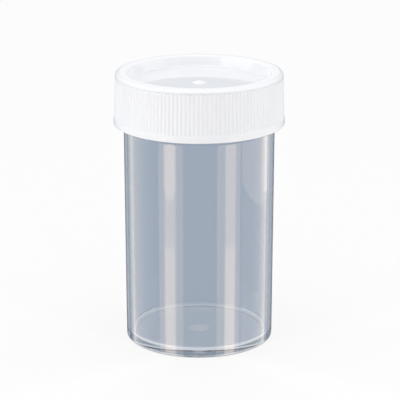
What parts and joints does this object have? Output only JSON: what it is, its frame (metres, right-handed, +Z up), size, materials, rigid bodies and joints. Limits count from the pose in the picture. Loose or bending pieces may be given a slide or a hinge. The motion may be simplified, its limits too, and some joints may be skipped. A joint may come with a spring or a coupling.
{
  "type": "slide staining jar",
  "caption": "Round clear plastic jar with a straight wall, closed by a white screw cap with a ribbed skirt and a sunken top panel.",
  "frame": {"origin": "centre of the foot ring, on the surface that the jar stands on", "axes": "+Z up along the jar's axis, towards the cap; X and Y across it, with -Y taken as the front"},
  "size_m": [0.0623, 0.0622, 0.1005],
  "materials": {
    "clear_plastic": "clear, glossy, faintly blue-grey, as moulded",
    "white_plastic": "opaque white, satin skirt and glossy panel"
  },
  "bodies": {
    "jar": {"jar": "clear_plastic"},
    "cap": {"cap": "white_plastic"}
  },
  "joints": [
    {"name": "cap_lift", "type": "slide", "parent": "jar", "child": "cap", "axis": [0, 0, 1], "range_m": [0, 0.04]}
  ]
}
